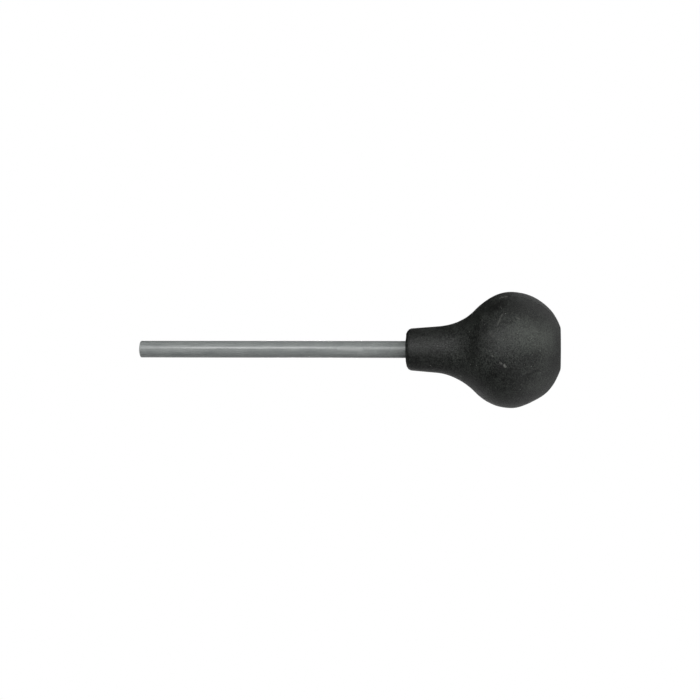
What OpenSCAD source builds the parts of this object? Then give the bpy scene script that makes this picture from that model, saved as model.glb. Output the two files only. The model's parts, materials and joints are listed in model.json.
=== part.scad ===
// Dust blower bulb: a moulded rubber bulb with a straight blow tube in its neck
// and a non-return air inlet valve in its flat foot.
// The tool stands on its foot: the origin is the centre of the foot, +Z runs along the tube.

/* [Bulb] */
// Largest diameter of the bulb
bulb_d = 40.4; // [38:0.2:42]
// Diameter of the flat foot
foot_d = 13.2; // [12:0.2:14.4]
// How much larger the radius of the two ball-shaped ends is than that of the bulb's waist
end_fullness = 0.5; // [0.2:0.1:1]
// How far each ball centre lies past the bulb's widest point
ball_shift = 2.3; // [1.8:0.1:3]
// Wall of the bulb
wall = 2.6; // [2:0.1:3.2]
// Thickness of the foot's rubber pad
pad_t = 3.6; // [3.4:0.1:4]

/* [Neck] */
// Height of the neck's lip above the foot
neck_top_z = 53.7; // [52.5:0.1:58]
// Diameter of the neck at its lip
neck_d = 15; // [14:0.1:17]
// Draft of the neck, in degrees
neck_draft = 4.4; // [3:0.1:5]
// Radius of the hollow curve between neck and bulb
shoulder_r = 20.4; // [16:0.2:22]
// Rounding of the lip
lip_r = 2.1; // [1:0.1:3]
// How deep the tube sits in the neck
grip_depth = 16; // [14:0.5:18]

/* [Tube] */
// Height of the tube's tip above the foot
total_h = 150; // [120:1:200]
// Outer diameter of the tube
tube_d = 6; // [5:0.1:6.4]
// Bore of the tube
tube_bore_d = 4; // [3:0.1:4.4]

/* [Valve] */
// Diameter of the valve's flange
flange_d = 9; // [8.4:0.1:9.6]
// Diameter of the valve's stem inside the rubber
stem_d = 6; // [5.8:0.1:6.2]
// Diameter of the air inlet
inlet_d = 2.4; // [1.6:0.1:2.6]
// Overall height of the valve body
valve_h = 8.2; // [8:0.1:9]

/* [Valve spring] */
// Diameter of the spring's wire
wire_d = 0.16; // [0.12:0.01:0.2]
// Mean diameter of the spring
coil_d = 3.2; // [2.8:0.1:3.4]
// Number of turns
coil_turns = 6; // [5:0.5:7]

/* [Hidden] */
$fn = 96;

arc_steps = 14;          // straight steps in each arc of an outline
hair = 0.03;             // running clearance between rubber and what it holds
touch = 0.01;            // space between metal pieces that lie on each other
past = 1;                // how far a cutting shape runs past the face it opens

// Foot and valve seat, as heights above the foot's face
foot_edge_r = 3;         // rounding between the foot's face and the ball
flange_z = 0.3;          // the flange is sunk this far into the foot
flange_t = 0.85;
recess_z = flange_z + flange_t + hair;
collar_z = pad_t + hair;
collar_d = 8;
collar_edge = 0.4;       // upright edge of the collar, under its barbed slope
collar_h = 1.7;
cup_d = 6.6;
chamber_d = 4.8;
floor_z = 2.5;           // floor of the valve chamber
seat_h = 0.35;
seat_w = 0.4;
seat_z = floor_z + seat_h;
valve_top_z = flange_z + valve_h;
valve_edge = 0.2;        // broken edges of the turned body
rolled_lip = 0.25;       // how far the cup's lip is rolled in over the retainer
rolled_h = 0.5;

// Loose pieces in the valve
gauze_t = 0.24;
gauze_bed_z = 1.4;       // the ledge that the gauze lies on
gauze_d = 5.3;
gauze_hole = 0.36;
gauze_pitch = 0.55;
clip_t = 0.6;
clip_w = 0.6;
clip_gap = 50;           // opening of the split clip, in degrees
disc_d = 4.3;
disc_t = 0.9;
disc_z = seat_z + touch;
retainer_t = 0.8;
retainer_z = valve_top_z - rolled_h - retainer_t;
skirt_h = 0.8;           // skirt under the retainer that centres the spring
vent_d = 0.8;
vent_ring_r = 1.2;
vents = 5;

// The foot's rounded edge lies on the foot's plane and touches the ball from inside
ball_r = bulb_d / 2 + end_fullness;
edge_x = foot_d / 2;
foot_ball_z = foot_edge_r + sqrt(pow(ball_r - foot_edge_r, 2) - pow(edge_x, 2));
edge_angle = atan2(foot_edge_r - foot_ball_z, edge_x);

// The waist's own arc touches both balls from inside
equator_z = foot_ball_z - ball_shift;
neck_ball_z = equator_z - ball_shift;
waist_x = (pow(ball_shift, 2) - pow(end_fullness, 2)) / (2 * end_fullness);
waist_arc_r = bulb_d / 2 - waist_x;
join_angle = atan2(ball_shift, waist_x);

// Points of an arc around [x, z], from angle a to angle b
function arc(x, z, r, a, b, steps = arc_steps) =
    [for (i = [0:steps]) let (t = a + (b - a) * i / steps) [x + r * cos(t), z + r * sin(t)]];

// The shoulder's centre: shoulder_r outside the neck's slanting side, and touching the neck ball
function neck_r(z) = neck_d / 2 + (neck_top_z - lip_r - z) * tan(neck_draft);
function shoulder_x(z) = neck_r(z) + shoulder_r / cos(neck_draft);
function shoulder_miss(z) = norm([shoulder_x(z), z - neck_ball_z]) - ball_r - shoulder_r;
function halve(lo, hi, tries = 30) =
    let (mid = (lo + hi) / 2)
    tries == 0 ? mid
    : shoulder_miss(mid) > 0 ? halve(lo, mid, tries - 1)
    : halve(mid, hi, tries - 1);
shoulder_z = halve(neck_ball_z, neck_top_z + shoulder_r);
shoulder_angle = atan2(shoulder_z - neck_ball_z, shoulder_x(shoulder_z));

// Outside of the rubber, from the foot's edge to the lip
outside = concat(
    arc(edge_x, foot_edge_r, foot_edge_r, -90, edge_angle, 4),
    arc(0, foot_ball_z, ball_r, edge_angle, -join_angle),
    arc(waist_x, equator_z, waist_arc_r, -join_angle, join_angle),
    arc(0, neck_ball_z, ball_r, join_angle, shoulder_angle),
    arc(shoulder_x(shoulder_z), shoulder_z, shoulder_r, 180 + shoulder_angle, 180 + neck_draft),
    arc(neck_d / 2 - lip_r, neck_top_z - lip_r, lip_r, neck_draft, 90, 8)
);

// Air space in the bulb, with a funnel that touches the ball and leads to the tube
tube_end_z = neck_top_z - grip_depth;
stop_h = 1.6;            // ledge that the tube's end meets
funnel_z = tube_end_z - stop_h;
air_r = ball_r - wall;
funnel_reach = norm([tube_bore_d / 2, funnel_z - neck_ball_z]);
funnel_angle = atan2(funnel_z - neck_ball_z, tube_bore_d / 2) - acos(air_r / funnel_reach);
pad_angle = asin((pad_t - foot_ball_z) / air_r);
air_space = concat(
    [[0, pad_t]],
    arc(0, foot_ball_z, air_r, pad_angle, -join_angle),
    arc(waist_x, equator_z, waist_arc_r - wall, -join_angle, join_angle),
    arc(0, neck_ball_z, air_r, join_angle, funnel_angle),
    [[tube_bore_d / 2, funnel_z], [0, funnel_z]]
);

// A round hole or rod in a revolved outline, from height a to height b
module rod(d, a, b) {
    translate([0, a]) square([d / 2, b - a]);
}

module bulb() {
    color("#2c2d2c") rotate_extrude() difference() {
        polygon(concat([[0, 0]], outside, [[0, neck_top_z]]));
        polygon(air_space);
        rod(tube_bore_d, funnel_z - past, neck_top_z);
        rod(tube_d + 2 * hair, tube_end_z, neck_top_z + past);
        rod(flange_d + 2 * hair, -past, recess_z);
        rod(stem_d + 2 * hair, -past, pad_t + past);
    }
}

// Straight plastic tube with broken edges
module nozzle_tube() {
    edge = 0.25;
    inner = tube_bore_d / 2;
    outer = tube_d / 2;
    color("#8c908f") rotate_extrude() polygon([
        [inner + edge, tube_end_z + hair], [outer - edge, tube_end_z + hair],
        [outer, tube_end_z + hair + edge], [outer, total_h - edge],
        [outer - edge, total_h], [inner + edge, total_h],
        [inner, total_h - edge], [inner, tube_end_z + hair + edge]
    ]);
}

// Turned body: flange, stem, barbed collar and cup, with its raised seat around the inlet
module valve_body() {
    taper_z = collar_z + collar_h;
    color("#b9b6ab") rotate_extrude() difference() {
        polygon([
            [0, flange_z], [flange_d / 2 - valve_edge, flange_z], [flange_d / 2, flange_z + valve_edge],
            [flange_d / 2, flange_z + flange_t], [stem_d / 2, flange_z + flange_t],
            [stem_d / 2, collar_z], [collar_d / 2, collar_z], [collar_d / 2, collar_z + collar_edge],
            [cup_d / 2, taper_z], [cup_d / 2, valve_top_z - valve_edge],
            [cup_d / 2 - valve_edge, valve_top_z], [0, valve_top_z]
        ]);
        rod(gauze_d + 2 * touch, flange_z - past, gauze_bed_z);
        rod(inlet_d, flange_z, seat_z + past);
        translate([inlet_d / 2 + seat_w, floor_z]) square([(chamber_d - inlet_d) / 2 - seat_w, seat_h + touch]);
        rod(chamber_d, seat_z, valve_top_z - rolled_h + touch);
        rod(chamber_d - 2 * rolled_lip, seat_z, valve_top_z + past);
    }
}

// Dust gauze: a thin disc with a grid of square meshes inside its plain rim
module inlet_gauze() {
    reach = floor(gauze_d / 2 / gauze_pitch);
    open_r = gauze_d / 2 - clip_w;
    color("#a7aaa8") translate([0, 0, gauze_bed_z - gauze_t - touch]) difference() {
        cylinder(d = gauze_d, h = gauze_t);
        for (i = [-reach:reach], j = [-reach:reach])
            if (norm([i, j]) * gauze_pitch < open_r)
                translate([i, j, 0] * gauze_pitch)
                    cube([gauze_hole, gauze_hole, 3 * gauze_t], center = true);
    }
}

// Split spring clip that holds the gauze down
module gauze_clip() {
    color("#9a9c9b") translate([0, 0, gauze_bed_z - gauze_t - clip_t - 2 * touch])
        rotate([0, 0, clip_gap / 2]) rotate_extrude(angle = 360 - clip_gap)
            translate([gauze_d / 2 - clip_w, 0]) square([clip_w, clip_t]);
}

// Rubber disc that shuts the inlet
module valve_disc() {
    color("#3b3b3a") translate([0, 0, disc_z]) cylinder(d = disc_d, h = disc_t);
}

// Round wire swept along a helix, with a closed turn at each end
spring_low = disc_z + disc_t + touch;
spring_high = retainer_z - touch;
spring_steps = 20;       // rings of the sweep in each turn
wire_sides = 8;
end_turn = 0.9;          // how much of a turn is closed at each end
end_rise = wire_d * 1.06 * end_turn;
open_rise = spring_high - spring_low - wire_d - 2 * end_rise;
function coil_rise(u) =
    let (closed = end_turn / coil_turns)
    u < closed ? end_rise * u / closed
    : u > 1 - closed ? end_rise + open_rise + end_rise * (u - 1 + closed) / closed
    : end_rise + open_rise * (u - closed) / (1 - 2 * closed);
function coil_point(k, s, n) =
    let (u = k / n, turn = 360 * coil_turns * u, side = 360 * s / wire_sides, x = coil_d / 2 + wire_d / 2 * cos(side))
    [x * cos(turn), x * sin(turn), spring_low + wire_d / 2 + coil_rise(u) + wire_d / 2 * sin(side)];

module valve_spring() {
    rings = round(spring_steps * coil_turns);
    points = [for (k = [0:rings], s = [0:wire_sides - 1]) coil_point(k, s, rings)];
    skin = [for (k = [0:rings - 1], s = [0:wire_sides - 1])
        let (a = k * wire_sides + s, b = k * wire_sides + (s + 1) % wire_sides)
        [a, b, b + wire_sides, a + wire_sides]];
    first = [for (s = [wire_sides - 1:-1:0]) s];
    last = [for (s = [0:wire_sides - 1]) rings * wire_sides + s];
    color("#9ea1a2") polyhedron(points, concat(skin, [first], [last]));
}

// Perforated cap that backs the spring, centres it and lets the air through
module valve_retainer() {
    color("#b9b6ab") translate([0, 0, retainer_z]) difference() {
        translate([0, 0, -skirt_h]) cylinder(d = chamber_d - 2 * touch, h = skirt_h + retainer_t);
        translate([0, 0, -skirt_h - past]) cylinder(d = coil_d + wire_d + 0.1, h = skirt_h + past);
        for (i = [0:vents - 1]) rotate([0, 0, i * 360 / vents])
            translate([vent_ring_r, 0, -past]) cylinder(d = vent_d, h = retainer_t + 2 * past);
    }
}

bulb();
nozzle_tube();
valve_body();
inlet_gauze();
gauze_clip();
valve_disc();
valve_spring();
valve_retainer();
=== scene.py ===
import json
import math

import bmesh
import bpy
from mathutils import Matrix, Vector


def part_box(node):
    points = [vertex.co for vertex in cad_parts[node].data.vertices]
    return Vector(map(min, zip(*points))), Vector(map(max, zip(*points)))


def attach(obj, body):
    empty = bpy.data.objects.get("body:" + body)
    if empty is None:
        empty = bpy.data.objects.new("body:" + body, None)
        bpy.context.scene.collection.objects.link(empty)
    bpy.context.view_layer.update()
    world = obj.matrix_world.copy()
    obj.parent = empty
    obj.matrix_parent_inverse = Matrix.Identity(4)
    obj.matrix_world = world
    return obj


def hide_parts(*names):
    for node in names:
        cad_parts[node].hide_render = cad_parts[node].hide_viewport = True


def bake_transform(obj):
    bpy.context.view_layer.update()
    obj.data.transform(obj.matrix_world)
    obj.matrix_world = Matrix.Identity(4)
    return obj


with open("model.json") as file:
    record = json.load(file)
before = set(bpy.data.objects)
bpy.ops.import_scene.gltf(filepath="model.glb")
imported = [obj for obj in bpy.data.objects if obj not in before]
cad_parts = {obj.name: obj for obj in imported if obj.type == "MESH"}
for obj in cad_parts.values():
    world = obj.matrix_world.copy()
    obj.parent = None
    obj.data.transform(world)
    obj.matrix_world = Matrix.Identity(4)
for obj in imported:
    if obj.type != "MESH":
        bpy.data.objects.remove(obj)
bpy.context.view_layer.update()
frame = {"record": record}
MM = 0.001


# ---------------------------------------------------------------- where things are

def size_of(node):
    """How far a node reaches along +X, which is its radius if it is a full round, its bottom and its top,
    in mm."""
    low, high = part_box(node)
    return high.x / MM, low.z / MM, high.z / MM


BULB_R, FOOT_Z, LIP_Z = size_of("bulb")
TUBE_R, TUBE_END_Z, TIP_Z = size_of("nozzle_tube")
FLANGE_R, FLANGE_Z, CUP_Z = size_of("valve_body")
GAUZE_R, GAUZE_LOW, GAUZE_HIGH = size_of("inlet_gauze")
# The clip's gap faces +X, so CLIP_R is how far its ends reach, 0.25 mm less than the CAD clip's radius
CLIP_R, CLIP_LOW, CLIP_HIGH = size_of("gauze_clip")
DISC_R, DISC_LOW, DISC_HIGH = size_of("valve_disc")
SPRING_R, SPRING_LOW, SPRING_HIGH = size_of("valve_spring")
CAP_R, CAP_LOW, CAP_HIGH = size_of("valve_retainer")
BORE_R = next(m for m in frame["record"]["mounts"] if m["name"] == "nozzle_bore")["dims"]["r_mm"]

HAIR = 0.03           # clearance that the CAD leaves round the tube and the valve
TOUCH = 0.01          # space between metal pieces that lie on each other

# The rubber's shape: two balls that meet at a rounder waist, a hollow shoulder and a drafted neck
FULLER = 0.5          # how much larger the balls' radius is than the bulb's
BALL_R = BULB_R + FULLER
BALL_SHIFT = 2.3      # how far each ball's centre lies past the waist
FOOT_R = 6.6
FOOT_EDGE = 3.0       # rounding between the foot and the ball
WALL = 2.6
PAD = 3.6             # thickness of the foot's rubber
NECK_R = 7.5          # at the lip
DRAFT = 4.4           # the neck's slope, in degrees
SHOULDER = 20.4       # radius of the hollow curve
LIP = 2.1             # rounding of the neck's end
LEDGE = 1.6           # height of the ledge under the tube's end
FOOT_BALL_Z = FOOT_EDGE + math.sqrt((BALL_R - FOOT_EDGE) ** 2 - FOOT_R ** 2)
WAIST_Z = FOOT_BALL_Z - BALL_SHIFT

MOUTH = 0.25          # rounding round the foot's recess
FOOT_SKIN_R = FLANGE_R + 0.6    # the foot's skin begins here, clear of the recess
LEAD = 0.3            # rounding round the hole for the tube
BULB_STEPS = 256
PART_LINE = -18       # the mould's parting line, in steps round the bulb from +X
PART_LINE_W = 0.4
PART_LINE_H = 0.09

# The valve
FLANGE_TOP = FLANGE_Z + 0.85
STEM_R = 3.0
COLLAR_R = 4.0
COLLAR_EDGE = 0.4     # the collar's upright edge, under its barbed slope
COLLAR_TOP = 1.7      # where the slope ends, above the collar's underside
CUP_R = 3.3
INLET_R = 1.2
SEAT_W = 0.4
SEAT_Z = DISC_LOW - TOUCH
FLOOR_Z = SEAT_Z - 0.35
CHAMBER_R = CAP_R + TOUCH
CAP_T = 0.8           # thickness of the perforated cap
VENTS = 5
VENT_R = 0.4
VENT_CIRCLE_R = 1.2
WIRE_R = 0.08         # the spring's wire
COIL_TURNS = 6
CLOSED_TURNS = 0.9    # turns at each end that lie on each other
CLIP_GAP = 50         # opening of the gauze's ring, in degrees
GAUZE_WIRE_R = 0.055
GAUZE_PITCH = 0.55    # from wire to wire
GAUZE_LIFT = 0.06     # how far a wire rises and falls over those that cross it


# ---------------------------------------------------------------- modelling

def deselect():
    if bpy.context.object and bpy.context.object.mode != "OBJECT":
        bpy.ops.object.mode_set(mode="OBJECT")
    bpy.ops.object.select_all(action="DESELECT")


def activate(piece):
    deselect()
    piece.select_set(True)
    bpy.context.view_layer.objects.active = piece


def edit(piece):
    activate(piece)
    bpy.ops.object.mode_set(mode="EDIT")
    bpy.ops.mesh.select_all(action="DESELECT")


def select(piece, test, kind="verts"):
    """Selects, in edit mode, the vertices or edges whose places in mm and normals pass the test."""
    shape = bmesh.from_edit_mesh(piece.data)
    for part in getattr(shape, kind):
        corners = [part] if kind == "verts" else part.verts
        if all(test(v.co / MM, v.normal) for v in corners):
            part.select_set(True)
    shape.select_flush_mode()
    bmesh.update_edit_mesh(piece.data)


def name_last(name):
    piece = bpy.context.object
    piece.name = piece.data.name = name
    return piece


def close_up(piece, angle=30):
    """Merges doubles, turns the faces outwards, leaves edit mode and smooths all but the sharp edges."""
    bpy.ops.mesh.select_all(action="SELECT")
    bpy.ops.mesh.remove_doubles(threshold=1e-7)
    bpy.ops.mesh.normals_make_consistent(inside=False)
    bpy.ops.object.mode_set(mode="OBJECT")
    bpy.ops.object.shade_smooth_by_angle(angle=math.radians(angle))
    return piece


def polar(x, z, r, angle):
    return x + r * math.cos(math.radians(angle)), z + r * math.sin(math.radians(angle))


def lathe(name, start, strokes, steps):
    """Draws an outline in the XZ plane and spins it round Z. A stroke is a point, which a line runs to, or
    an arc's (centre x, centre z, first angle, last angle, segments), in mm and degrees, that starts
    where the outline is."""
    deselect()
    bpy.ops.mesh.primitive_plane_add(size=MM)
    piece = name_last(name)
    bpy.ops.object.mode_set(mode="EDIT")
    bpy.ops.mesh.merge(type="CENTER")
    bpy.ops.transform.translate(value=(start[0] * MM, 0, start[1] * MM))
    x, z = start
    for stroke in strokes:
        if len(stroke) == 2:
            step = ((stroke[0] - x) * MM, 0, (stroke[1] - z) * MM)
            bpy.ops.mesh.extrude_vertices_move(TRANSFORM_OT_translate={"value": step})
            x, z = stroke
        else:
            centre_x, centre_z, first, last, segments = stroke
            bpy.ops.mesh.spin(
                steps=segments, angle=math.radians(last - first), use_auto_merge=False,
                center=(centre_x * MM, 0, centre_z * MM), axis=(0, 1, 0))
            x, z = polar(centre_x, centre_z, math.hypot(x - centre_x, z - centre_z), last)
    bpy.ops.mesh.select_all(action="SELECT")
    bpy.ops.mesh.spin(steps=steps, angle=math.tau, center=(0, 0, 0), axis=(0, 0, 1))
    return close_up(piece)


def apply_modifier(piece, kind, **settings):
    activate(piece)
    modifier = piece.modifiers.new(kind.title(), kind)
    for key, value in settings.items():
        setattr(modifier, key, value)
    bpy.ops.object.modifier_apply(modifier=modifier.name)


def round_edges(piece, width, segments):
    """Rounds the edges that turn by more than 60 degrees. The width is in mm."""
    apply_modifier(piece, "BEVEL", width=width * MM, segments=segments, limit_method="ANGLE",
                   angle_limit=math.radians(60))


# ---------------------------------------------------------------- the bulb

def bulb_strokes():
    """The bulb's section: the recess, foot, ball, shoulder, neck and lip, then the bore and the air space."""
    edge = math.degrees(math.atan2(FOOT_EDGE - FOOT_BALL_Z, FOOT_R))
    neck_ball = WAIST_Z - BALL_SHIFT
    waist_x = (BALL_SHIFT ** 2 - FULLER ** 2) / (2 * FULLER)
    meet = math.degrees(math.atan2(BALL_SHIFT, waist_x))
    # The shoulder's centre is SHOULDER outside the neck's slope and touches the neck's ball
    slope = math.tan(math.radians(DRAFT))
    reach = NECK_R + (LIP_Z - LIP) * slope + SHOULDER / math.cos(math.radians(DRAFT))
    b = reach * slope + neck_ball
    c = reach ** 2 + neck_ball ** 2 - (BALL_R + SHOULDER) ** 2
    shoulder_z = (b + math.sqrt(b * b - (1 + slope ** 2) * c)) / (1 + slope ** 2)
    shoulder_x = reach - slope * shoulder_z
    lean = math.degrees(math.atan2(shoulder_z - neck_ball, shoulder_x))
    # The air space's funnel touches the inner ball and ends at the ledge
    air_r = BALL_R - WALL
    ledge = TUBE_END_Z - HAIR - LEDGE
    far = math.hypot(BORE_R, ledge - neck_ball)
    funnel = math.degrees(math.atan2(ledge - neck_ball, BORE_R) - math.acos(air_r / far))
    pad = math.degrees(math.asin((PAD - FOOT_BALL_Z) / air_r))
    recess_r = FLANGE_R + HAIR
    hole_r = TUBE_R + HAIR
    recess_z = FLANGE_TOP + HAIR
    start = (hole_r, recess_z)
    return start, [
        (recess_r, recess_z), (recess_r, FOOT_Z + MOUTH),
        (recess_r + MOUTH, FOOT_Z + MOUTH, 180, 270, 4),
        (FOOT_R, FOOT_Z),
        (FOOT_R, FOOT_EDGE, -90, edge, 6),
        (0, FOOT_BALL_Z, edge, -meet, 38),
        (waist_x, WAIST_Z, -meet, meet, 14),
        (0, neck_ball, meet, lean, 30),
        (shoulder_x, shoulder_z, 180 + lean, 180 + DRAFT, 34),
        polar(NECK_R - LIP, LIP_Z - LIP, LIP, DRAFT),
        (NECK_R - LIP, LIP_Z - LIP, DRAFT, 90, 12),
        (hole_r + LEAD, LIP_Z), (hole_r + LEAD, LIP_Z - LEAD, 90, 180, 4),
        (hole_r, TUBE_END_Z - HAIR), (BORE_R, TUBE_END_Z - HAIR), (BORE_R, ledge),
        polar(0, neck_ball, air_r, funnel),
        (0, neck_ball, funnel, meet, 16), (waist_x, WAIST_Z, meet, -meet, 6),
        (0, FOOT_BALL_Z, -meet, pad, 18), (hole_r, PAD), start,
    ]


def ball_point(x, z):
    """The point on the front of the ball's outside at that x and height, in mm."""
    r = math.sqrt(BALL_R ** 2 - (z - WAIST_Z) ** 2) - FULLER
    return Vector((x, -math.sqrt(r * r - x * x), z))


def is_skin(p, n):
    """Whether a point of the rubber is on its outside, clear of the foot's recess and of the bore."""
    r = math.hypot(p.x, p.y)
    below_air = p.z < PAD - 0.1
    if below_air:
        return r > FOOT_SKIN_R
    return p.x * n.x + p.y * n.y > 0 and r > NECK_R - LIP


def push(piece, test, move, reach):
    """Moves the points of the skin that pass the test, by mm, and less and less of the skin within reach."""
    edit(piece)
    select(piece, lambda p, n: not is_skin(p, n))
    bpy.ops.mesh.hide()
    select(piece, test)
    bpy.ops.transform.translate(
        value=Vector(move) * MM, use_proportional_edit=True, proportional_size=reach * MM,
        proportional_edit_falloff="SMOOTH")
    bpy.ops.mesh.reveal(select=False)
    bpy.ops.object.mode_set(mode="OBJECT")


def raise_part_line(bulb):
    """The flash line that the mould's two halves leave: a low ridge down both sides of the bulb."""
    angle = math.tau * PART_LINE / BULB_STEPS
    across = Vector((-math.sin(angle), math.cos(angle), 0))

    def on_line(p, n):
        return abs(p.dot(across)) < 0.01 and is_skin(p, n) and p.z > 1

    edit(bulb)
    select(bulb, on_line, "edges")
    bpy.ops.mesh.bevel(offset=PART_LINE_W / 2 * MM, segments=2, affect="EDGES")
    bpy.ops.mesh.select_all(action="DESELECT")
    select(bulb, on_line)
    bpy.ops.transform.shrink_fatten(value=PART_LINE_H * MM)
    bpy.ops.object.mode_set(mode="OBJECT")


def make_bulb():
    start, strokes = bulb_strokes()
    bulb = lathe("rubber_bulb", start, strokes, BULB_STEPS)
    raise_part_line(bulb)
    # The rubber has set a little askew: the shoulder sags to one side, and the ball is fuller on the other
    push(bulb, lambda p, n: abs(p.z - 30.5) < 1.5 and is_skin(p, n), (-0.5, 0, 0), 13)
    push(bulb, lambda p, n: p.z < 1.5 and is_skin(p, n), (0.3, 0, 0), 9)
    push(bulb, lambda p, n: 3 < p.z < 6 and abs(p.y) < 2 and p.x > 10, (0.4, 0, 0), 11)
    push(bulb, lambda p, n: abs(p.y) < 1 and p.x < 0.5 - BULB_R, (-0.2, 0, 0), 10)
    push(bulb, lambda p, n: 10 < p.z < 12 and abs(p.y) < 2 and p.x < -10, (0.35, 0, 0), 5)
    push(bulb, lambda p, n: 2.5 < p.z < 4 and abs(p.y) < 2 and p.x < -6, (-0.4, 0, 0), 5)
    skin = bulb.vertex_groups.new(name="skin")
    free = [v.index for v in bulb.data.vertices if is_skin(v.co / MM, v.normal) and v.co.z > 2 * MM]
    skin.add(free, 1, "REPLACE")
    lumps = bpy.data.textures.new("lumps", "CLOUDS")
    lumps.noise_scale = 16 * MM
    apply_modifier(bulb, "DISPLACE", texture=lumps, strength=0.25 * MM, mid_level=0.5, vertex_group="skin")
    # Small dents, as (x, height), depth and reach: two side by side, and three in a row that make a crease
    dents = [((-5.0, 19.8), 0.3, 1.1), ((-4.5, 19.0), 0.2, 0.9), ((-8.8, 11.2), 0.36, 1.4),
             ((-7.6, 8.6), 0.4, 1.4), ((-6.5, 6.2), 0.32, 1.3)]
    for (x, z), depth, reach in dents:
        place = ball_point(x, z)
        near = min(bulb.data.vertices, key=lambda v: (v.co / MM - place).length).co / MM
        inwards = -depth * (near - Vector((0, 0, WAIST_Z))).normalized()
        push(bulb, lambda p, n: (p - near).length < 0.01, inwards, reach)
    return bulb


# ---------------------------------------------------------------- the tube

def make_tube():
    """Cut from extruded tube, with its ends' edges broken."""
    edge = 0.18
    return lathe("blow_tube", (BORE_R, TUBE_END_Z + edge), [
        (BORE_R + edge, TUBE_END_Z), (TUBE_R - edge, TUBE_END_Z), (TUBE_R, TUBE_END_Z + edge),
        (TUBE_R, TIP_Z - edge),
        (TUBE_R - edge, TIP_Z - edge, 0, 90, 3), (BORE_R + edge, TIP_Z),
        (BORE_R + edge, TIP_Z - edge, 90, 180, 3), (BORE_R, TUBE_END_Z + edge),
    ], 96)


# ---------------------------------------------------------------- the inlet valve

def move_to(piece, location, rotation=(0, 0, 0)):
    """Places a piece, in mm and radians, and then bakes the place into its mesh."""
    activate(piece)
    piece.location = Vector(location) * MM
    piece.rotation_euler = rotation
    bpy.ops.object.transform_apply(location=True, rotation=True, scale=True)
    return piece


def copy_of(piece):
    activate(piece)
    bpy.ops.object.duplicate(linked=False)
    return bpy.context.object


def join(pieces, name):
    activate(pieces[0])
    for piece in pieces:
        piece.select_set(True)
    bpy.ops.object.join()
    return name_last(name)


def ring_of_wire(name, wire, place, rotation, sides):
    """The round section of a wire, given by its radius, as a loop of edges at a place in mm. It is left
    selected in edit mode."""
    deselect()
    bpy.ops.mesh.primitive_circle_add(vertices=sides, radius=wire * MM)
    piece = move_to(name_last(name), place, rotation)
    edit(piece)
    bpy.ops.mesh.select_all(action="SELECT")
    return piece


def make_valve_body():
    """Turned from bar: the flange, stem, barbed collar and cup, with the seat round the inlet."""
    edge, fine, bevel = 0.2, 0.08, 0.15
    barb_z = PAD + HAIR
    bed_r, bed_z = GAUZE_R + TOUCH, GAUZE_HIGH + TOUCH
    lip_r = CHAMBER_R - 0.25
    seat_r = INLET_R + SEAT_W
    start = (bed_r + bevel, FLANGE_Z)
    shell = lathe("valve_shell", start, [
        (FLANGE_R - edge, FLANGE_Z), (FLANGE_R - edge, FLANGE_Z + edge, -90, 0, 5),
        (FLANGE_R, FLANGE_TOP - fine), (FLANGE_R - fine, FLANGE_TOP),
        (STEM_R, FLANGE_TOP), (STEM_R, barb_z),
        (COLLAR_R - fine, barb_z), (COLLAR_R, barb_z + fine), (COLLAR_R, barb_z + COLLAR_EDGE),
        (CUP_R, barb_z + COLLAR_TOP), (CUP_R, CUP_Z - edge), (CUP_R - edge, CUP_Z - edge, 0, 90, 5),
        (lip_r + edge, CUP_Z), (lip_r + edge, CUP_Z - edge, 90, 180, 5),
        (lip_r, CAP_HIGH + TOUCH), (CHAMBER_R, CAP_HIGH + TOUCH), (CHAMBER_R, FLOOR_Z),
        (seat_r, FLOOR_Z), (seat_r, SEAT_Z - fine), (seat_r - fine, SEAT_Z - fine, 0, 90, 3),
        (INLET_R + fine, SEAT_Z), (INLET_R + fine, SEAT_Z - fine, 90, 180, 3),
        (INLET_R, bed_z + fine), (INLET_R + fine, bed_z), (bed_r, bed_z), (bed_r, FLANGE_Z + bevel), start,
    ], 128)
    apply_modifier(shell, "WEIGHTED_NORMAL", keep_sharp=True)
    return shell


def make_gauze():
    """Plain-woven wire cloth, punched round: each wire runs over one of those that cross it and under
    the next. The wires' cut ends aren't clean: some faces there are open or doubled."""
    level = (GAUZE_LOW + GAUZE_HIGH) / 2
    reach = (math.ceil(GAUZE_R / GAUZE_PITCH) + 1) * GAUZE_PITCH
    step = GAUZE_PITCH / 6

    def height(x):
        return GAUZE_LIFT * math.cos(math.pi * x / GAUZE_PITCH)

    beginning = (-reach, 0, level + height(-reach))
    first = ring_of_wire("woven_gauze", GAUZE_WIRE_R, beginning, (0, math.pi / 2, 0), 8)
    x = -reach
    while x < reach:
        rise = height(x + step) - height(x)
        bpy.ops.mesh.extrude_region_move(TRANSFORM_OT_translate={"value": Vector((step, 0, rise)) * MM})
        x += step
    bpy.ops.object.mode_set(mode="OBJECT")
    wires = []
    rim = 0.2
    last = math.floor((GAUZE_R - rim) / GAUZE_PITCH)
    for k in range(-last, last + 1):
        for crossing in (False, True):
            along, across = ((k + crossing) % 2) * GAUZE_PITCH, k * GAUZE_PITCH
            place = (across, along, 0) if crossing else (along, across, 0)
            strand = move_to(copy_of(first), place, (0, 0, math.pi / 2 if crossing else 0))
            half = math.sqrt((GAUZE_R - GAUZE_WIRE_R) ** 2 - across ** 2)
            for side in (-1, 1):
                outwards = Vector((0, side, 0) if crossing else (side, 0, 0))
                edit(strand)
                bpy.ops.mesh.select_all(action="SELECT")
                bpy.ops.mesh.bisect(
                    plane_co=outwards * half * MM, plane_no=outwards, use_fill=True, clear_outer=True)
            wires.append(strand)
    bpy.data.objects.remove(first)
    cloth = join(wires, "woven_gauze")
    edit(cloth)
    return close_up(cloth, 50)


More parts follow.
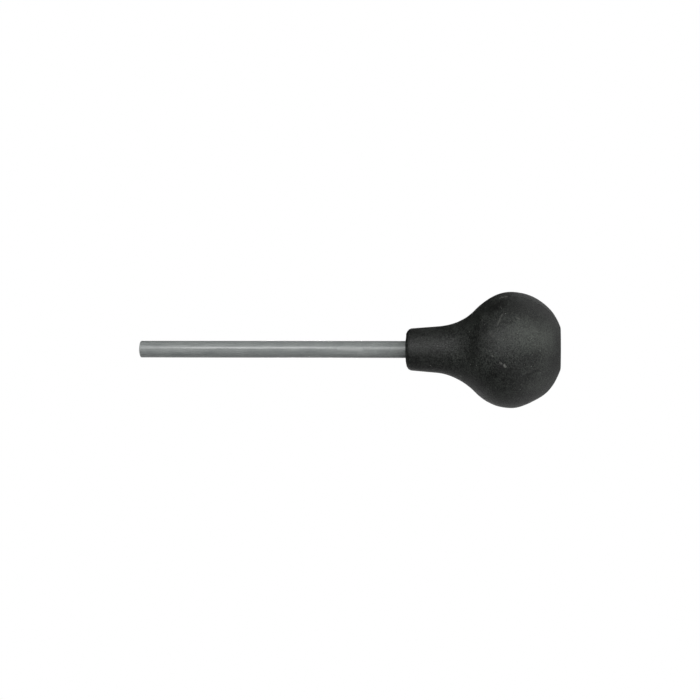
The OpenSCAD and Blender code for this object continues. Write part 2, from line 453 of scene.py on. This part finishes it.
def make_clip():
    """A split ring of round spring wire, its ends filed round, with the gap centred on +X. It is drawn to
    CLIP_R, so there is about 0.25 mm between it and the wall of its bed."""
    wire = (CLIP_HIGH - CLIP_LOW) / 2 - TOUCH
    gap = math.radians(CLIP_GAP)
    middle = (CLIP_LOW + CLIP_HIGH) / 2
    end = Matrix.Rotation(gap / 2, 3, "Z") @ Vector((CLIP_R - wire, 0, middle))
    clip = ring_of_wire("gauze_ring", wire, end, (math.pi / 2, 0, gap / 2), 16)
    bpy.ops.mesh.spin(steps=96, angle=math.tau - gap, center=(0, 0, 0), axis=(0, 0, 1))
    bpy.ops.mesh.select_all(action="SELECT")
    bpy.ops.mesh.fill_holes(sides=0)
    close_up(clip)
    round_edges(clip, width=0.14, segments=4)
    return clip


def make_disc():
    """Punched from sheet rubber, so the edge is drawn in a little more on the side that the punch enters."""
    top, low, bulge = 0.2, 0.1, 0.03
    return lathe("valve_flap", (0, DISC_LOW), [
        (DISC_R - low - bulge, DISC_LOW), (DISC_R - low - bulge, DISC_LOW + low, -90, 0, 4),
        (DISC_R, (DISC_LOW + DISC_HIGH) / 2), (DISC_R - bulge, DISC_HIGH - top),
        (DISC_R - bulge - top, DISC_HIGH - top, 0, 90, 5), (0, DISC_HIGH),
    ], 96)


def make_spring():
    """Round wire wound round Z, with a closed turn at each end."""
    steps = 24
    place = (SPRING_R - WIRE_R, 0, SPRING_LOW + WIRE_R)
    end_pitch = 2.12 * WIRE_R    # a little more than the wire is thick
    rise = SPRING_HIGH - SPRING_LOW - 2 * WIRE_R
    open_pitch = (rise - 2 * CLOSED_TURNS * end_pitch) / (COIL_TURNS - 2 * CLOSED_TURNS)
    spring = ring_of_wire("return_spring", WIRE_R, place, (math.pi / 2, 0, 0), 10)
    for k in range(COIL_TURNS * steps):
        turn = (k + 0.5) / steps
        pitch = open_pitch if CLOSED_TURNS < turn < COIL_TURNS - CLOSED_TURNS else end_pitch
        bpy.ops.mesh.extrude_region_move(
            TRANSFORM_OT_translate={"value": (0, 0, pitch / steps * MM)})
        # With no window the rotation turns the other way
        bpy.ops.transform.rotate(value=-math.tau / steps, orient_axis="Z", center_override=(0, 0, 0))
    bpy.ops.mesh.select_all(action="SELECT")
    bpy.ops.mesh.fill_holes(sides=0)
    return close_up(spring, 50)


def make_cap():
    """The perforated cap: a plate with a skirt that centres the spring, and vents drilled through."""
    edge = 0.12
    plate = CAP_HIGH - CAP_T
    skirt = SPRING_R + 0.05
    cap = lathe("perforated_cap", (0, plate), [
        (skirt, plate), (skirt, CAP_LOW + edge), (skirt + edge, CAP_LOW + edge, 180, 270, 3),
        (CAP_R - edge, CAP_LOW), (CAP_R - edge, CAP_LOW + edge, -90, 0, 3),
        (CAP_R, CAP_HIGH - edge), (CAP_R - edge, CAP_HIGH - edge, 0, 90, 3), (0, CAP_HIGH),
    ], 96)
    drills = []
    for k in range(VENTS):
        deselect()
        bpy.ops.mesh.primitive_cylinder_add(vertices=32, radius=VENT_R * MM, depth=4 * CAP_T * MM)
        x, y = polar(0, 0, VENT_CIRCLE_R, 360 * k / VENTS)
        drills.append(move_to(name_last("drill"), (x, y, plate)))
    drill = join(drills, "drill")
    apply_modifier(cap, "BOOLEAN", operation="DIFFERENCE", object=drill)
    bpy.data.objects.remove(drill)
    round_edges(cap, width=0.04, segments=2)
    edit(cap)
    close_up(cap)
    apply_modifier(cap, "WEIGHTED_NORMAL", keep_sharp=True)
    return cap


# ---------------------------------------------------------------- stage

def make_stage():
    """A round board, 3 m across, just below the foot."""
    deselect()
    bpy.ops.mesh.primitive_circle_add(vertices=64, radius=1.5, fill_type="NGON")
    floor = move_to(name_last("studio_floor"), (0, 0, FOOT_Z - 0.05))
    floor.data.materials.append(floor_paint())


# ---------------------------------------------------------------- finishes

def to_linear(text):
    """A #rrggbb colour as linear RGBA."""
    parts = [int(text[i:i + 2], 16) / 255 for i in (1, 3, 5)]
    return tuple(c / 12.92 if c <= 0.04045 else ((c + 0.055) / 1.055) ** 2.4 for c in parts) + (1,)


def new_material(name):
    paint = bpy.data.materials.new(name)
    paint.use_nodes = True
    return paint, paint.node_tree.nodes["Principled BSDF"]


def add(paint, kind, inputs=None, **settings):
    """Adds a node. Each input is a value, or a (node, output) pair that is linked."""
    node = paint.node_tree.nodes.new(kind)
    for key, value in settings.items():
        setattr(node, key, value)
    for socket, value in (inputs or {}).items():
        plug(paint, node, socket, value)
    return node


def plug(paint, node, socket, value):
    if isinstance(value, tuple) and isinstance(value[0], bpy.types.Node):
        paint.node_tree.links.new(value[0].outputs[value[1]], node.inputs[socket])
    else:
        node.inputs[socket].default_value = value


def floor_paint():
    """Matt white board, lit from behind so that it looks as white as the backdrop."""
    paint, shader = new_material("matt_white_board")
    shader.inputs["Base Color"].default_value = (0.8, 0.8, 0.8, 1)
    shader.inputs["Roughness"].default_value = 0.9
    shader.inputs["Specular IOR Level"].default_value = 0
    shader.inputs["Emission Color"].default_value = (1, 1, 1, 1)
    shader.inputs["Emission Strength"].default_value = 0.28
    # The camera sees it exactly as white as the backdrop, so that no seam shows between them
    glow = add(paint, "ShaderNodeEmission", {"Color": (1, 1, 1, 1), "Strength": 1.0})
    path = add(paint, "ShaderNodeLightPath")
    white = add(paint, "ShaderNodeMixShader", {
        "Fac": (path, "Is Camera Ray"), 1: (shader, "BSDF"), 2: (glow, "Emission")})
    # Clear from below, so that the foot can be looked at through it
    side = add(paint, "ShaderNodeNewGeometry")
    clear = add(paint, "ShaderNodeBsdfTransparent")
    board = add(paint, "ShaderNodeMixShader", {
        "Fac": (side, "Backfacing"), 1: (white, "Shader"), 2: (clear, "BSDF")})
    plug(paint, paint.node_tree.nodes["Material Output"], "Surface", (board, "Shader"))
    return paint


def streak(paint, where, start, end, width):
    """A soft-edged line between two points, in mm: 1 along its middle and 0 beyond its width."""
    start, end = Vector(start) * MM, Vector(end) * MM
    along = end - start
    away = add(paint, "ShaderNodeVectorMath", {0: where, 1: tuple(start)}, operation="SUBTRACT")
    shadow = add(paint, "ShaderNodeVectorMath", {
        0: (away, "Vector"), 1: tuple(along / along.length_squared)}, operation="DOT_PRODUCT")
    part = add(paint, "ShaderNodeClamp", {"Value": (shadow, "Value")})
    nearest = add(paint, "ShaderNodeVectorMath", {
        0: tuple(along), "Scale": (part, "Result")}, operation="SCALE")
    miss = add(paint, "ShaderNodeVectorMath", {
        0: (away, "Vector"), 1: (nearest, "Vector")}, operation="DISTANCE")
    return add(paint, "ShaderNodeMapRange", {
        "Value": (miss, "Value"), "From Min": 0.0, "From Max": width * MM, "To Min": 1.0, "To Max": 0.0},
        interpolation_type="SMOOTHSTEP")


# Rubs and flecks on the bulb's front: from (x, height) to (x, height), width in mm, and strength
RUBS = [
    ((12.0, 19.8), (8.0, 21.5), 0.5, 0.3),
    ((-4.4, 20.4), (-4.8, 19.8), 0.6, 0.8),
    ((-5.1, 19.1), (-5.7, 18.7), 0.6, 0.7),
    ((-2.1, 23.2), (-2.3, 23.0), 0.6, 0.6),
    ((6.6, 8.6), (6.4, 8.0), 1.2, 0.4),
    ((5.6, 23.9), (5.2, 23.2), 1.3, 0.13),
    ((10.7, 14.7), (10.5, 14.3), 0.6, 0.3),
    ((17.9, 20.8), (18.3, 18.4), 0.6, 0.7),
    ((7.9, 4.2), (7.4, 3.8), 1.0, 0.35),
    ((1.6, 5.7), (-4.8, 5.3), 0.5, 0.25),
    ((1.8, 10.2), (1.7, 9.4), 0.6, 0.5),
    ((-8.2, 12.6), (-4.9, 4.4), 0.6, 0.12),
    ((-7.4, 11.3), (-7.2, 11.0), 0.4, 0.35),
]
# Painted highlight and glow: pale patches over the front of the ball and near the foot, listed in the same
# way
CLOUDS = [
    ((5.5, 11.5), (4.5, 6.0), 9.0, 1.0),
    ((-8.0, 6.0), (8.0, 3.0), 5.0, 0.3),
    ((-13.0, 10.0), (-12.5, 6.0), 4.0, 0.25),
]
# Painted shade, in the dents and the crease and in broad patches on the ball's upper and lower sides, listed
# in the same way
PAINTED_SHADE = [
    ((-5.4, 20.3), (-5.8, 19.5), 2.0, 0.8),
    ((-9.1, 12.6), (-5.7, 4.3), 0.9, 1.0),
    ((14.8, 23.5), (15.2, 13.5), 5.0, 0.65),
    ((-7.0, 21.0), (-8.5, 16.5), 5.0, 0.5),
    ((16.5, 11.0), (13.5, 4.5), 4.0, 0.55),
]


def rubber_paint():
    """Moulded natural rubber, filled with carbon black. It leaves the mould matt and faintly grained, and
    the sulphur and wax that come to its surface cloud it with grey bloom, which handling rubs off."""
    paint, shader = new_material("moulded_black_rubber")
    place = add(paint, "ShaderNodeTexCoord")
    where = (place, "Object")
    cloud = add(paint, "ShaderNodeTexNoise", {
        "Vector": where, "Scale": 1 / (6 * MM), "Detail": 3.0, "Roughness": 0.55, "Distortion": 0.4})
    mottle = add(paint, "ShaderNodeTexNoise", {
        "Vector": where, "Scale": 1 / (0.8 * MM), "Detail": 3.0, "Roughness": 0.75})
    # The blasted mould's grain is about 0.1 mm: it is drawn four times as coarse, so that it shows
    grain = add(paint, "ShaderNodeTexNoise", {
        "Vector": where, "Scale": 1 / (0.4 * MM), "Detail": 1.0, "Roughness": 0.6})
    both = add(paint, "ShaderNodeMix", {0: 0.65, 2: (cloud, "Fac"), 3: (mottle, "Fac")})
    speckled = add(paint, "ShaderNodeMix", {0: 0.4, 2: (both, 0), 3: (grain, "Fac")})
    bloom = add(paint, "ShaderNodeMapRange", {"Value": (speckled, 0), "From Min": 0.44, "From Max": 0.59})
    colour = add(paint, "ShaderNodeMix", {
        0: (bloom, "Result"), 6: to_linear("#070807"), 7: to_linear("#404440")}, data_type="RGBA")

    # Dust: one fleck, about 0.3 mm across, in six out of ten of the cells
    cells = add(paint, "ShaderNodeTexVoronoi", {"Vector": where, "Scale": 1 / (2.2 * MM)})
    fleck = add(paint, "ShaderNodeMapRange", {
        "Value": (cells, "Distance"), "From Min": 0.04, "From Max": 0.1, "To Min": 0.9, "To Max": 0.0})
    lot = add(paint, "ShaderNodeSeparateColor", {"Color": (cells, "Color")})
    chosen = add(paint, "ShaderNodeMath", {0: (lot, "Red"), 1: 0.4}, operation="GREATER_THAN")
    worn = add(paint, "ShaderNodeMath", {0: (fleck, "Result"), 1: (chosen, "Value")}, operation="MULTIPLY")

    # Hairline scuffs, about 0.2 mm wide and 2 mm long: the middles of long cells that lie three ways
    for turn in ((0.4, 0.3, 0.9), (-0.7, 0.5, -0.4), (1.3, -0.6, 0.2)):
        turned = add(paint, "ShaderNodeMapping", {
            "Vector": where, "Rotation": turn, "Scale": (1.0, 0.09, 1.0)})
        needles = add(paint, "ShaderNodeTexVoronoi", {"Vector": (turned, "Vector"), "Scale": 1 / (1.5 * MM)})
        scuff = add(paint, "ShaderNodeMapRange", {
            "Value": (needles, "Distance"), "From Min": 0.03, "From Max": 0.1, "To Min": 0.45, "To Max": 0.0})
        worn = add(paint, "ShaderNodeMath", {0: (worn, "Value"), 1: (scuff, "Result")}, operation="MAXIMUM")

    # The marks that use has left on the front, with edges that wander
    wander = 0.9 * MM
    ragged = add(paint, "ShaderNodeTexNoise", {"Vector": where, "Scale": 1 / (0.8 * MM), "Detail": 2.0})
    shift = add(paint, "ShaderNodeVectorMath", {
        0: (ragged, "Color"), 1: (wander, wander, wander), 2: where}, operation="MULTIPLY_ADD")
    centred = add(paint, "ShaderNodeVectorMath", {
        0: (shift, "Vector"), 1: (wander / 2, wander / 2, wander / 2)}, operation="SUBTRACT")
    for start, end, width, strength in RUBS:
        line = streak(paint, (centred, "Vector"), ball_point(*start), ball_point(*end), width)
        rub = add(paint, "ShaderNodeMath", {0: (line, "Result"), 1: strength}, operation="MULTIPLY")
        worn = add(paint, "ShaderNodeMath", {0: (worn, "Value"), 1: (rub, "Value")}, operation="MAXIMUM")
    # Pale colour for the painted highlight and glow; dark colour for the painted shade and for the neck
    painted_highlight_colour, darkening_colour = to_linear("#5f635e"), to_linear("#0d0e0d")
    # Painted highlight and glow: pale patches, broken up by the bloom's mottle
    for start, end, width, strength in CLOUDS:
        line = streak(paint, (centred, "Vector"), ball_point(*start), ball_point(*end), width)
        uneven = add(paint, "ShaderNodeMath", {
            0: (line, "Result"), 1: (bloom, "Result")}, operation="MULTIPLY")
        share = add(paint, "ShaderNodeMath", {0: (uneven, "Value"), 1: 0.6 * strength}, operation="MULTIPLY")
        share = add(paint, "ShaderNodeMath", {
            0: (line, "Result"), 1: 0.5 * strength, 2: (share, "Value")},
            operation="MULTIPLY_ADD", use_clamp=True)
        colour = add(paint, "ShaderNodeMix", {
            0: (share, "Value"), 6: (colour, 2), 7: painted_highlight_colour}, data_type="RGBA")
    # Painted shade in the dents, the crease and on the ball's sides
    for start, end, width, strength in PAINTED_SHADE:
        line = streak(paint, (centred, "Vector"), ball_point(*start), ball_point(*end), width)
        share = add(paint, "ShaderNodeMath", {0: (line, "Result"), 1: strength}, operation="MULTIPLY")
        colour = add(paint, "ShaderNodeMix", {
            0: (share, "Value"), 6: (colour, 2), 7: darkening_colour}, data_type="RGBA")
    # The neck is darker, from 36 mm up
    axis = add(paint, "ShaderNodeSeparateXYZ", {"Vector": where})
    height_ramp = add(paint, "ShaderNodeMapRange", {
        "Value": (axis, "Z"), "From Min": 36 * MM, "From Max": 42 * MM, "To Min": 0.0, "To Max": 0.4})
    colour = add(paint, "ShaderNodeMix", {
        0: (height_ramp, "Result"), 6: (colour, 2), 7: darkening_colour}, data_type="RGBA")
    pale = add(paint, "ShaderNodeMix", {
        0: (worn, "Value"), 6: (colour, 2), 7: to_linear("#8d8e89")}, data_type="RGBA")
    plug(paint, shader, "Base Color", (pale, 2))

    dull = add(paint, "ShaderNodeMapRange", {
        "Value": (both, 0), "From Min": 0.4, "From Max": 0.62, "To Min": 0.43, "To Max": 0.57})
    plug(paint, shader, "Roughness", (dull, "Result"))
    shader.inputs["IOR"].default_value = 1.52
    waves = add(paint, "ShaderNodeMath", {
        0: (mottle, "Fac"), 1: 1.5, 2: (grain, "Fac")}, operation="MULTIPLY_ADD")
    height = add(paint, "ShaderNodeMath", {
        0: (worn, "Value"), 1: -1.5, 2: (waves, "Value")}, operation="MULTIPLY_ADD")
    bump = add(paint, "ShaderNodeBump", {"Height": (height, "Value"), "Strength": 1.0, "Distance": 0.1 * MM})
    plug(paint, shader, "Normal", (bump, "Normal"))
    return paint


def tube_paint():
    """Grey PVC tube. The extruder's die leaves fine lines along it, and cooling leaves its skin satin in
    some places and glossier in others."""
    paint, shader = new_material("extruded_grey_pvc")
    place = add(paint, "ShaderNodeTexCoord")
    where = (place, "Object")
    stretched = add(paint, "ShaderNodeMapping", {"Vector": where, "Scale": (1.0, 1.0, 0.012)})
    lines = add(paint, "ShaderNodeTexNoise", {
        "Vector": (stretched, "Vector"), "Scale": 1 / (0.45 * MM), "Detail": 3.0, "Roughness": 0.6})
    uneven = add(paint, "ShaderNodeMapping", {"Vector": where, "Scale": (1.0, 1.0, 0.3)})
    blotch = add(paint, "ShaderNodeTexNoise", {
        "Vector": (uneven, "Vector"), "Scale": 1 / (2.2 * MM), "Detail": 3.0, "Roughness": 0.6})
    speckle = add(paint, "ShaderNodeTexNoise", {
        "Vector": where, "Scale": 1 / (0.5 * MM), "Detail": 2.0, "Roughness": 0.6})
    mixed = add(paint, "ShaderNodeMix", {0: 0.4, 2: (blotch, "Fac"), 3: (lines, "Fac")})
    mixed = add(paint, "ShaderNodeMix", {0: 0.25, 2: (mixed, 0), 3: (speckle, "Fac")})
    shade = add(paint, "ShaderNodeMapRange", {"Value": (mixed, 0), "From Min": 0.36, "From Max": 0.64})
    colour = add(paint, "ShaderNodeMix", {
        0: (shade, "Result"), 6: to_linear("#8f9493"), 7: to_linear("#a9adac")}, data_type="RGBA")
    # One long patch is worn dull by rubbing, and lightened as a painted highlight
    rub_and_highlight = streak(paint, where, (-0.2, -TUBE_R, 69.5), (0.4, -TUBE_R, 77.5), 1.0)
    highlight_share = add(paint, "ShaderNodeMath", {0: (rub_and_highlight, "Result"), 1: 0.45}, operation="MULTIPLY")
    pale = add(paint, "ShaderNodeMix", {
        0: (highlight_share, "Value"), 6: (colour, 2), 7: to_linear("#c6cac8")}, data_type="RGBA")
    # Painted shade where the tube goes into the rubber: darker towards the bulb
    end = add(paint, "ShaderNodeSeparateXYZ", {"Vector": where})
    lip_shade = add(paint, "ShaderNodeMapRange", {
        "Value": (end, "Z"), "From Min": 52 * MM, "From Max": 64 * MM, "To Min": 0.6, "To Max": 0.0})
    with_lip_shade = add(paint, "ShaderNodeMix", {
        0: (lip_shade, "Result"), 6: (pale, 2), 7: to_linear("#6c706e")}, data_type="RGBA")
    plug(paint, shader, "Base Color", (with_lip_shade, 2))
    satin = add(paint, "ShaderNodeMapRange", {
        "Value": (blotch, "Fac"), "From Min": 0.35, "From Max": 0.65, "To Min": 0.13, "To Max": 0.22})
    # The end that the fingers hold is a little duller too
    height_ramp = add(paint, "ShaderNodeMapRange", {
        "Value": (end, "Z"), "From Min": 60 * MM, "From Max": 90 * MM, "To Min": 0.1, "To Max": 0.0})
    duller = add(paint, "ShaderNodeMath", {0: (satin, "Result"), 1: (height_ramp, "Result")}, operation="ADD")
    gloss = add(paint, "ShaderNodeMath", {
        0: (rub_and_highlight, "Result"), 1: 0.25, 2: (duller, "Value")}, operation="MULTIPLY_ADD")
    plug(paint, shader, "Roughness", (gloss, "Value"))
    shader.inputs["IOR"].default_value = 1.6
    height = add(paint, "ShaderNodeMath", {
        0: (blotch, "Fac"), 1: 3.0, 2: (lines, "Fac")}, operation="MULTIPLY_ADD")
    bump = add(paint, "ShaderNodeBump", {"Height": (height, "Value"), "Strength": 0.3, "Distance": 0.02 * MM})
    plug(paint, shader, "Normal", (bump, "Normal"))
    return paint


def nickel_paint():
    """Nickel plate on turned brass: a warm, soft-edged mirror, with the lathe tool's rings under it."""
    paint, shader = new_material("turned_nickel_plate")
    place = add(paint, "ShaderNodeTexCoord")
    split = add(paint, "ShaderNodeSeparateXYZ", {"Vector": (place, "Object")})
    flat = add(paint, "ShaderNodeCombineXYZ", {"X": (split, "X"), "Y": (split, "Y")})
    radius = add(paint, "ShaderNodeVectorMath", {0: (flat, "Vector")}, operation="LENGTH")
    rings_at = add(paint, "ShaderNodeCombineXYZ", {"X": (radius, "Value"), "Z": (split, "Z")})
    # The tool's feed is 0.05 mm a turn: the rings are drawn at twice that, so that they show
    rings = add(paint, "ShaderNodeTexNoise", {
        "Vector": (rings_at, "Vector"), "Scale": 1 / (0.1 * MM), "Detail": 2.0, "Roughness": 0.7})
    tarnish = add(paint, "ShaderNodeTexNoise", {
        "Vector": (place, "Object"), "Scale": 1 / (1.6 * MM), "Detail": 4.0, "Roughness": 0.6})
    aged = add(paint, "ShaderNodeMapRange", {"Value": (tarnish, "Fac"), "From Min": 0.4, "From Max": 0.7})
    colour = add(paint, "ShaderNodeMix", {
        0: (aged, "Result"), 6: to_linear("#d0ccc1"), 7: to_linear("#beb8a8")}, data_type="RGBA")
    plug(paint, shader, "Base Color", (colour, 2))
    shader.inputs["Metallic"].default_value = 1.0
    rough = add(paint, "ShaderNodeMapRange", {
        "Value": (tarnish, "Fac"), "From Min": 0.35, "From Max": 0.7, "To Min": 0.2, "To Max": 0.36})
    plug(paint, shader, "Roughness", (rough, "Result"))
    bump = add(paint, "ShaderNodeBump", {"Height": (rings, "Fac"), "Strength": 0.5, "Distance": 0.006 * MM})
    plug(paint, shader, "Normal", (bump, "Normal"))
    return paint


def steel_paint():
    """Drawn stainless steel wire: grey and bright, with a little of the die's dullness."""
    paint, shader = new_material("drawn_stainless_wire")
    place = add(paint, "ShaderNodeTexCoord")
    drawn = add(paint, "ShaderNodeTexNoise", {
        "Vector": (place, "Object"), "Scale": 1 / (0.3 * MM), "Detail": 3.0, "Roughness": 0.6})
    colour = add(paint, "ShaderNodeMix", {
        0: (drawn, "Fac"), 6: to_linear("#a9aaa8"), 7: to_linear("#c6c6c2")}, data_type="RGBA")
    plug(paint, shader, "Base Color", (colour, 2))
    shader.inputs["Metallic"].default_value = 1.0
    rough = add(paint, "ShaderNodeMapRange", {"Value": (drawn, "Fac"), "To Min": 0.2, "To Max": 0.4})
    plug(paint, shader, "Roughness", (rough, "Result"))
    return paint


def flap_paint():
    """Nitrile sheet: denser and darker than the bulb's rubber, with the fine print of the press cloth."""
    paint, shader = new_material("pressed_nitrile_sheet")
    place = add(paint, "ShaderNodeTexCoord")
    # The cloth's threads are about 0.1 mm apart. A wave turns by 20 radians to a unit
    pitch = 0.099 * MM
    threads = math.tau / (20 * pitch)
    print_x = add(paint, "ShaderNodeTexWave", {
        "Vector": (place, "Object"), "Scale": threads, "Distortion": 0.6}, bands_direction="X")
    print_y = add(paint, "ShaderNodeTexWave", {
        "Vector": (place, "Object"), "Scale": threads, "Distortion": 0.6}, bands_direction="Y")
    cloth = add(paint, "ShaderNodeMath", {0: (print_x, "Fac"), 1: (print_y, "Fac")}, operation="MULTIPLY")
    speckle = add(paint, "ShaderNodeTexNoise", {
        "Vector": (place, "Object"), "Scale": 1 / (0.4 * MM), "Detail": 3.0, "Roughness": 0.6})
    colour = add(paint, "ShaderNodeMix", {
        0: (speckle, "Fac"), 6: to_linear("#1b1b1c"), 7: to_linear("#2d2d2e")}, data_type="RGBA")
    plug(paint, shader, "Base Color", (colour, 2))
    shader.inputs["Roughness"].default_value = 0.5
    bump = add(paint, "ShaderNodeBump", {"Height": (cloth, "Value"), "Strength": 0.4, "Distance": 0.01 * MM})
    plug(paint, shader, "Normal", (bump, "Normal"))
    return paint


# ---------------------------------------------------------------- camera and lights

CAMERA_AWAY = 497
CAMERA_TILT = 7.6           # how far it looks up, in degrees
CAMERA_TARGET = (-0.2, 0, 73.86)
CAMERA_TOP = (1, 0, 0.0015)     # the way that the top of the picture faces
SENSOR = 36
LENS = 72.103

LAMP_AWAY = 0.6             # in metres, from the point that the soft boxes face
LAMP_TARGET = (0, 0, 30)
# Name, azimuth and elevation in degrees, width and height in metres, and watts of each soft box
LAMPS = [
    ("key", 30, 30, 0.35, 0.35, 0.7),
    ("strip", 21, 14, 0.12, 0.5, 1.0),
    ("top", 0, 30, 0.35, 0.35, 0.2),
    ("fill", 0, 2, 0.35, 0.35, 0.2),
    ("back", 180, 2, 0.12, 0.35, 2.0),
    ("rim_left", -150, 2, 0.35, 0.35, 0.25),
    ("rim_right", 150, 2, 0.35, 0.35, 0.03),
    ("high_rim", -150, 30, 0.35, 0.35, 0.15),
    ("side", -120, 30, 0.35, 0.35, 0.15),
]


def aim(thing, place, target, up=Vector((0, 0, 1))):
    """Puts a camera or light at a place, facing the target, with its top towards up."""
    forward = (target - place).normalized()
    right = forward.cross(up).normalized()
    top = right.cross(forward)
    turn = Matrix((right, top, -forward)).transposed().to_4x4()
    thing.matrix_world = Matrix.Translation(place) @ turn


def make_camera():
    """Looks along +Y from a little above the bench, turned on its side so that the tube points left."""
    data = bpy.data.cameras.new("camera")
    camera = bpy.data.objects.new("camera", data)
    bpy.context.scene.collection.objects.link(camera)
    tilt = math.radians(CAMERA_TILT)
    target = Vector(CAMERA_TARGET) * MM
    place = target - CAMERA_AWAY * MM * Vector((0, math.cos(tilt), math.sin(tilt)))
    aim(camera, place, target, up=Vector(CAMERA_TOP))
    data.sensor_width = SENSOR
    data.lens = LENS
    bpy.context.scene.camera = camera


def make_light(name, azimuth, elevation, width, height, power):
    """A soft box, which the camera doesn't see. Azimuth 0 is the camera's side and 90 is +X."""
    data = bpy.data.lights.new(name, "AREA")
    data.shape = "RECTANGLE"
    data.size, data.size_y, data.energy = width, height, power
    lamp = bpy.data.objects.new(name, data)
    bpy.context.scene.collection.objects.link(lamp)
    lamp.visible_camera = False
    a, e = math.radians(azimuth), math.radians(elevation)
    place = LAMP_AWAY * Vector((math.sin(a) * math.cos(e), -math.cos(a) * math.cos(e), math.sin(e)))
    centre = Vector(LAMP_TARGET) * MM
    aim(lamp, centre + place, centre)


def make_lights():
    """Soft boxes beside the camera and behind, a strip whose reflection runs down the tube, and a white
    backdrop that only the camera sees."""
    for name, azimuth, elevation, width, height, power in LAMPS:
        make_light(name, azimuth, elevation, width, height, power)
    world = bpy.data.worlds.new("studio")
    bpy.context.scene.world = world
    world.use_nodes = True
    surround = world.node_tree.nodes["Background"]
    surround.inputs["Strength"].default_value = 0
    backdrop = add(world, "ShaderNodeBackground", {"Color": (1, 1, 1, 1), "Strength": 1.0})
    path = add(world, "ShaderNodeLightPath")
    seen = add(world, "ShaderNodeMixShader", {
        "Fac": (path, "Is Camera Ray"), 1: (surround, "Background"), 2: (backdrop, "Background")})
    plug(world, world.node_tree.nodes["World Output"], "Surface", (seen, "Shader"))
    bpy.context.scene.view_settings.view_transform = "Standard"


# ---------------------------------------------------------------- build

bulb = make_bulb()
bulb.data.materials.append(rubber_paint())
tube = make_tube()
tube.data.materials.append(tube_paint())

nickel = nickel_paint()
steel = steel_paint()
shell = make_valve_body()
shell.data.materials.append(nickel)
gauze = make_gauze()
gauze.data.materials.append(steel)
clip = make_clip()
clip.data.materials.append(steel)
flap = make_disc()
flap.data.materials.append(flap_paint())
spring = make_spring()
spring.data.materials.append(steel)
cap = make_cap()
cap.data.materials.append(nickel)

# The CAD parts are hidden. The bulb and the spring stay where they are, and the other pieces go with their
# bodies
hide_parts("bulb")
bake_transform(bulb)
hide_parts("nozzle_tube")
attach(tube, "nozzle")

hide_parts("valve_body")
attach(shell, "inlet_valve")
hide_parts("inlet_gauze")
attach(gauze, "inlet_valve")
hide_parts("gauze_clip")
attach(clip, "inlet_valve")
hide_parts("valve_disc")
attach(flap, "valve_disc")
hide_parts("valve_spring")
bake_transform(spring)
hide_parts("valve_retainer")
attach(cap, "inlet_valve")

make_stage()
make_lights()
make_camera()
